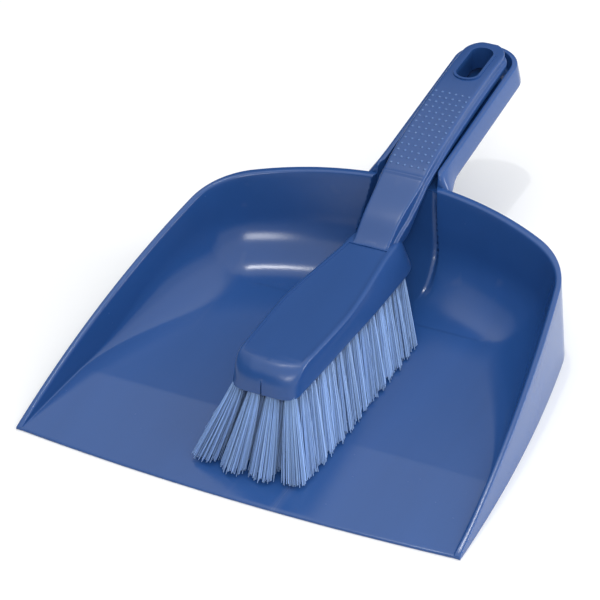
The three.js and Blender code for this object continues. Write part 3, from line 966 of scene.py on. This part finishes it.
def filament_tree(material, seed):
    """Each tuft point becomes a fan of thin round bars from a packed root to a spread tip."""
    nodes = Nodes("bristle_tufts", (("Filaments", "NodeSocketInt"), ("Radius", "NodeSocketFloat"),
                                    ("Raggedness", "NodeSocketFloat")))
    start = nodes.start
    spread = nodes.node("GeometryNodeDuplicateElements", {"domain": "POINT"},
                        Geometry=start["Geometry"], Amount=start["Filaments"])
    index = nodes.node("GeometryNodeInputIndex")
    radius = nodes.math("SQRT", nodes.random(0.0, 1.0, seed, index))
    angle = nodes.random(0.0, 2 * math.pi, seed + 1, index)
    disc = nodes.xyz(X=nodes.math("MULTIPLY", radius, nodes.math("COSINE", angle)),
                     Y=nodes.math("MULTIPLY", radius, nodes.math("SINE", angle)))
    root_offset = nodes.vector("MULTIPLY", disc, (TUFT_ROOT_RADIUS * MM, TUFT_ROOT_RADIUS * MM, 0.0))
    tip_offset = nodes.vector("MULTIPLY", disc, (TUFT_SPREAD[0] * MM, TUFT_SPREAD[1] * MM, 0.0))
    ragged = nodes.math("MULTIPLY", nodes.random(-0.2, 1.0, seed + 2, index), start["Raggedness"])
    stray = nodes.xyz(X=nodes.random(-0.0006, 0.0006, seed + 3, index),
                      Y=nodes.random(-0.0006, 0.0006, seed + 4, index))
    lean = nodes.vector("SUBTRACT", nodes.field("tip"), nodes.field("root"))
    lean = nodes.vector("ADD", lean, nodes.xyz(Z=ragged))
    fan = nodes.vector("ADD", nodes.vector("SUBTRACT", tip_offset, root_offset), stray)
    kept = nodes.keep(spread, "lean", "FLOAT_VECTOR", lean)
    kept = nodes.keep(kept, "fan", "FLOAT_VECTOR", fan)
    kept = nodes.keep(kept, "tint", "FLOAT", nodes.random(0.0, 1.0, seed + 5, index))
    moved = nodes.node("GeometryNodeSetPosition", Geometry=kept, Offset=root_offset)
    bar = nodes.node("GeometryNodeCurvePrimitiveLine", End=(0.0, 0.0, 1.0))
    cut = nodes.node("GeometryNodeResampleCurve", Curve=bar, Count=5)
    placed = nodes.node("GeometryNodeInstanceOnPoints", Points=moved, Instance=cut)
    real = nodes.node("GeometryNodeRealizeInstances", Geometry=placed)
    along = nodes.node("GeometryNodeSplineParameter")
    kept = nodes.keep(real, "along", "FLOAT", along)
    lean = nodes.field("lean")
    sideways = nodes.scaled(nodes.vector("MULTIPLY", lean, (1.0, 1.0, 0.0)),
                            nodes.math("POWER", along, 1.12))
    down = nodes.scaled(nodes.vector("MULTIPLY", lean, (0.0, 0.0, 1.0)), along)
    opened = nodes.scaled(nodes.field("fan"), nodes.math("POWER", along, 0.75))
    path = nodes.vector("ADD", nodes.vector("ADD", sideways, down), opened)
    path = nodes.vector("ADD", path, nodes.xyz(Z=nodes.math("MULTIPLY", along, -1.0)))
    laid = nodes.node("GeometryNodeSetPosition", Geometry=kept, Offset=path)
    nodes.finish(nodes.tube(laid, start["Radius"], 3), material)
    return nodes


def tuft_lines(rows):
    """Root and tip centre of every tuft in the given rows, in metres."""
    roots, tips = [], []
    for row, column, root in tuft_roots():
        if row not in rows:
            continue
        fan = TUFT_FAN_OUTER if column in (0, len(TUFT_COLUMNS) - 1) else TUFT_FAN_INNER
        drop = root.z - floor_height(root.y - 25)
        reach = math.sqrt(TUFT_LENGTH**2 - drop**2)
        x = root.x + math.copysign(reach * math.sin(fan), root.x)
        y = root.y - reach * math.cos(fan)
        z = floor_height(y + TUFT_TIP_HALF[1]) + 0.75
        roots.append(to_brush(root + Vector((0, 0, TUFT_HOLE_DEPTH - ROOT_INSET))))
        tips.append(to_brush((x, y, z)))
    return roots, tips


def dot_tree(material):
    """A low round dot on every point, turned to the surface's slope."""
    nodes = Nodes("grip_dots", (("Dot Radius", "NodeSocketFloat"), ("Dot Height", "NodeSocketFloat")))
    start = nodes.start
    ball = nodes.node("GeometryNodeMeshIcoSphere", Radius=1.0, Subdivisions=2)
    size = nodes.xyz(X=start["Dot Radius"], Y=start["Dot Radius"], Z=start["Dot Height"])
    turn = nodes.node("FunctionNodeAlignRotationToVector", {"axis": "Z"}, Vector=nodes.field("up"))
    placed = nodes.node("GeometryNodeInstanceOnPoints", Points=start["Geometry"], Instance=ball,
                        Rotation=turn, Scale=size)
    real = nodes.node("GeometryNodeRealizeInstances", Geometry=placed)
    nodes.finish(nodes.node("GeometryNodeSetShadeSmooth", Geometry=real), material)
    return nodes


def anchor_tree(material):
    """A short round wire across the bottom of every tuft hole."""
    nodes = Nodes("tuft_anchors", (("Length", "NodeSocketFloat"), ("Wire", "NodeSocketFloat")))
    start = nodes.start
    ends = [nodes.xyz(X=nodes.math("MULTIPLY", start["Length"], side)) for side in (-0.5, 0.5)]
    bar = nodes.node("GeometryNodeCurvePrimitiveLine", Start=ends[0], End=ends[1])
    wire = nodes.tube(bar, start["Wire"], 6)
    placed = nodes.node("GeometryNodeInstanceOnPoints", Points=start["Geometry"], Instance=wire)
    nodes.finish(placed, material)
    return nodes


# ---------- settings ----------

def size_property(label, description, default):
    return bpy.props.FloatProperty(name=label, description=description, default=default, min=0.0,
                                   precision=5, unit="LENGTH")


def colour_property(label, description, default):
    return bpy.props.FloatVectorProperty(name=label, description=description, default=default, size=3,
                                         min=0.0, max=1.0, subtype="COLOR")


def share_property(label, description, default):
    return bpy.props.FloatProperty(name=label, description=description, default=default, min=0.0,
                                   max=1.0, subtype="FACTOR")


def brightness_property(label, description, default):
    return bpy.props.FloatProperty(name=label, description=description, default=default, min=0.0)


class PanSettings(bpy.types.PropertyGroup):
    """Sizes and finish of the dustpan."""
    rim_side: size_property("Side rim", "Width of the rim along the sides", 0.0028)
    rim_back: size_property("Back rim", "Width of the rim round the back", 0.0043)
    edge_radius: size_property("Outer edge", "Radius of the rim's outer edge", 0.0007)
    bead_radius: size_property("Inner edge", "Radius of the rim's inner edge", 0.0014)
    colour: colour_property("Colour", "Colour of the pan's plastic", (0.020, 0.075, 0.250))
    roughness: share_property("Roughness", "Roughness of the polished plastic", 0.2)


class StockSettings(bpy.types.PropertyGroup):
    """Sizes and finish of the brush stock."""
    panel_depth: size_property("Panel depth", "Depth of the panel in the top of the block", 0.0004)
    panel_margin: size_property("Panel margin", "Border left round the panel", 0.0022)
    seam_width: size_property("Seam", "Width of the seam on the nose", 0.0007)
    hole_rim: size_property("Hole rim", "Width of the rim round the hanging hole", 0.0015)
    dot_radius: size_property("Dot radius", "Radius of a grip dot", 0.0008)
    dot_height: size_property("Dot height", "Height of a grip dot above the grip", 0.00045)
    dot_rows: bpy.props.IntProperty(name="Dot rows", description="Rows of grip dots", default=14, min=1)
    colour: colour_property("Colour", "Colour of the stock's plastic", (0.018, 0.068, 0.230))
    roughness: share_property("Roughness", "Roughness of the polished plastic", 0.3)


class BristleSettings(bpy.types.PropertyGroup):
    """Number, sizes and colour of the filaments."""
    filaments: bpy.props.IntProperty(
        name="Filaments", description="Filaments in one tuft", default=190, min=1)
    radius: size_property("Radius", "Radius of a filament", 0.0002)
    raggedness: size_property("Raggedness", "How unevenly the tips are trimmed", 0.0022)
    seed: bpy.props.IntProperty(name="Seed", description="Seed of the filaments' places", default=7)
    colour: colour_property("Colour", "Colour of the filaments", (0.29, 0.46, 0.80))


class StageSettings(bpy.types.PropertyGroup):
    """Floor and surroundings."""
    floor: colour_property("Floor", "Colour of the floor", (0.93, 0.93, 0.93))
    overhead: brightness_property("Overhead", "Brightness of the surroundings overhead", 1.32)
    low_left: brightness_property("Left", "Brightness near the horizon on the left", 0.06)
    low_right: brightness_property("Right", "Brightness near the horizon on the right", 0.9)


# ---------- operators ----------

class DUSTPAN_OT_pan(bpy.types.Operator):
    """Build the moulded dustpan with its channel handle"""
    bl_idname = "dustpan.pan"
    bl_label = "Dustpan"

    def execute(self, context):
        look = context.scene.dustpan_pan
        scoop = scoop_body(look)
        combine(scoop, mouth_tool(), "DIFFERENCE")
        handle = handle_body()
        combine(handle, recess_tool(look), "DIFFERENCE")
        combine(scoop, handle, "UNION")
        shade(scoop)
        material = moulded_plastic("pan_plastic", look.colour, look.roughness, 900.0)
        dress(scoop, material, "pan")
        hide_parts("dustpan")
        return {"FINISHED"}


class DUSTPAN_OT_stock(bpy.types.Operator):
    """Build the brush stock: block, pad, grip and hanging hole"""
    bl_idname = "dustpan.stock"
    bl_label = "Brush stock"

    def execute(self, context):
        look = context.scene.dustpan_stock
        stock = block_body()
        stock.name = "brush_stock_shell"
        combine(stock, panel_tool(look), "DIFFERENCE")
        combine(stock, grip_body(), "UNION")
        combine(stock, obround("rim", HANG_HOLE_RADIUS + look.hole_rim / MM, -6, 0.55), "UNION")
        combine(stock, obround("hole", HANG_HOLE_RADIUS, -30, 10), "DIFFERENCE")
        combine(stock, seam_tool(look), "DIFFERENCE")
        combine(stock, tuft_holes_tool(), "DIFFERENCE")
        shade(stock)
        material = moulded_plastic("stock_plastic", look.colour, look.roughness, 1100.0)
        dress(stock, material, "brush")
        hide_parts("brush_stock")
        return {"FINISHED"}


class DUSTPAN_OT_dots(bpy.types.Operator):
    """Set the rows of grip dots on top of the grip"""
    bl_idname = "dustpan.dots"
    bl_label = "Grip dots"

    def execute(self, context):
        look = context.scene.dustpan_stock
        points, normals = [], []
        for row in range(look.dot_rows):
            y = DOT_FIRST_Y + DOT_PITCH * row
            slope = (grip_top(y + 1) - grip_top(y - 1)) / 2
            up = Vector((0, -slope, 1)).normalized()
            for x in DOT_COLUMNS:
                points.append(to_brush((x, y, grip_top(y) + DOT_LIFT)))
                normals.append(up)
        material = bpy.data.materials["stock_plastic"]
        settings = {"Dot Radius": look.dot_radius, "Dot Height": look.dot_height}
        dots = grown("grip_dots", points, {"up": normals}, dot_tree(material), settings)
        dress(dots, material, "brush")
        return {"FINISHED"}


class DUSTPAN_OT_bristles(bpy.types.Operator):
    """Grow the filaments of every tuft, in a front and a back piece"""
    bl_idname = "dustpan.bristles"
    bl_label = "Bristles"

    def execute(self, context):
        look = context.scene.dustpan_bristles
        material = filament_material(look.colour)
        nodes = filament_tree(material, look.seed)
        halves = (("bristles_front", range(FRONT_TUFT_ROWS)),
                  ("bristles_back", range(FRONT_TUFT_ROWS, TUFT_ROWS)))
        for name, rows in halves:
            roots, tips = tuft_lines(rows)
            settings = {"Filaments": look.filaments, "Radius": look.radius, "Raggedness": look.raggedness}
            piece = grown(name, roots, {"root": roots, "tip": tips}, nodes, settings)
            dress(piece, material, "brush")
            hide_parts(*(f"tuft_r{row + 1:02d}_c{column}" for row in rows for column in range(1, 5)))
        return {"FINISHED"}


class DUSTPAN_OT_anchors(bpy.types.Operator):
    """Lay the wire anchor across the bottom of every tuft hole"""
    bl_idname = "dustpan.anchors"
    bl_label = "Tuft anchors"

    def execute(self, context):
        material = plain_metal()
        rise = Vector((0, 0, TUFT_HOLE_DEPTH - ANCHOR_INSET))
        points = [to_brush(root + rise) for _, _, root in tuft_roots()]
        settings = {"Length": ANCHOR_LENGTH * MM, "Wire": ANCHOR_WIRE * MM}
        piece = grown("tuft_anchors", points, {}, anchor_tree(material), settings)
        dress(piece, material, "brush")
        return {"FINISHED"}


STUDIO_LIGHTS = (
    ("overhead_light", (-0.19, 0.2, 1.28), (-0.068, 0, 0), (0.04, 0.05), 1.8),
    ("front_light", (0.40, -0.94, 0.78), (0, -0.1, 0.04), (0.3, 0.24), 3.2),
    ("right_light", (1.2, 0.6, 0.28), (0, 0, 0.04), (0.6, 0.3), 6.5),
)
CAMERA_PLACE = (0.3702, -0.88277, 0.6566)
CAMERA_TARGET = (-0.0181, -0.04597, 0.0287)
CAMERA_LENS = 140.2
SENSOR_WIDTH = 36


def aim(thing, place, target):
    """Puts a light or the camera in its place and turns it to its target."""
    thing.location = place
    thing.rotation_euler = (Vector(target) - Vector(place)).to_track_quat("-Z", "Y").to_euler()


def area_light(name, place, target, size, power):
    data = bpy.data.lights.new(name, "AREA")
    data.shape = "RECTANGLE"
    data.size, data.size_y = size
    data.energy = power
    aim(in_scene(name, data), place, target)


def soft_surroundings(overhead, low_left, low_right):
    """White surroundings: bright overhead, and dimmer on the left than on the right."""
    world = bpy.data.worlds.new("surroundings")
    world.use_nodes = True
    tree = world.node_tree
    back = tree.nodes["Background"].inputs
    back["Color"].default_value = (0.97, 0.985, 1.0, 1)
    place = add(tree, "ShaderNodeTexCoord").outputs["Generated"]
    split = add(tree, "ShaderNodeSeparateXYZ", Vector=place).outputs

    def ramp(source, start, end, first, last):
        level = add(tree, "ShaderNodeMapRange", {"interpolation_type": "SMOOTHSTEP"},
                    Value=split[source], From_Min=start, From_Max=end, To_Min=first, To_Max=last)
        return level.outputs["Result"]

    horizon = ramp("X", -0.4, 0.8, low_left, low_right)
    roof = ramp("X", -0.75, -0.42, 0.4 * overhead, overhead)
    level = ramp("Z", math.sin(math.radians(34)), math.sin(math.radians(41)), horizon, roof)
    feed(tree, back["Strength"], level)
    return world


class DUSTPAN_OT_stage(bpy.types.Operator):
    """Set up the pale floor, the soft studio lights and the camera"""
    bl_idname = "dustpan.stage"
    bl_label = "Stage"

    def execute(self, context):
        look = context.scene.dustpan_stage
        mesh = bpy.data.meshes.new("floor")
        mesh.from_pydata([(-6, -6, 0), (6, -6, 0), (6, 6, 0), (-6, 6, 0)], [], [(0, 1, 2, 3)])
        mesh.materials.append(new_material("floor", Base_Color=(*look.floor, 1), Roughness=0.9)[0])
        floor = in_scene("floor", mesh)

        context.scene.world = soft_surroundings(look.overhead, look.low_left, look.low_right)
        context.scene.view_settings.view_transform = "Standard"
        for settings in STUDIO_LIGHTS:
            area_light(*settings)

        data = bpy.data.cameras.new("camera")
        data.lens, data.sensor_width = CAMERA_LENS, SENSOR_WIDTH
        camera = in_scene("camera", data)
        aim(camera, CAMERA_PLACE, CAMERA_TARGET)
        context.scene.camera = camera
        return {"FINISHED"}


class DUSTPAN_PT_panel(bpy.types.Panel):
    """Lists the settings and the pieces that can be built"""
    bl_idname = "DUSTPAN_PT_panel"
    bl_label = "Dustpan and brush"
    bl_space_type = "VIEW_3D"
    bl_region_type = "UI"
    bl_category = "Dustpan"

    def draw(self, context):
        for title, group, steps in SECTIONS:
            box = self.layout.box()
            box.label(text=title)
            settings = getattr(context.scene, group)
            for key in settings.__annotations__:
                box.prop(settings, key)
            for step in steps:
                box.operator(step.bl_idname)


SECTIONS = (
    ("Dustpan", "dustpan_pan", (DUSTPAN_OT_pan,)),
    ("Brush stock", "dustpan_stock", (DUSTPAN_OT_stock, DUSTPAN_OT_dots)),
    ("Bristles", "dustpan_bristles", (DUSTPAN_OT_bristles, DUSTPAN_OT_anchors)),
    ("Stage", "dustpan_stage", (DUSTPAN_OT_stage,)),
)
GROUPS = {
    "dustpan_pan": PanSettings,
    "dustpan_stock": StockSettings,
    "dustpan_bristles": BristleSettings,
    "dustpan_stage": StageSettings,
}
CLASSES = (
    *GROUPS.values(), DUSTPAN_OT_pan, DUSTPAN_OT_stock, DUSTPAN_OT_dots, DUSTPAN_OT_bristles,
    DUSTPAN_OT_anchors, DUSTPAN_OT_stage, DUSTPAN_PT_panel,
)


def register():
    for kind in CLASSES:
        bpy.utils.register_class(kind)
    for name, group in GROUPS.items():
        setattr(bpy.types.Scene, name, bpy.props.PointerProperty(type=group))


def unregister():
    for name in GROUPS:
        delattr(bpy.types.Scene, name)
    for kind in reversed(CLASSES):
        bpy.utils.unregister_class(kind)


def main():
    register()
    for _, _, steps in SECTIONS:
        for step in steps:
            getattr(bpy.ops.dustpan, step.bl_idname.split(".")[1])()


if __name__ == "__main__":
    main()
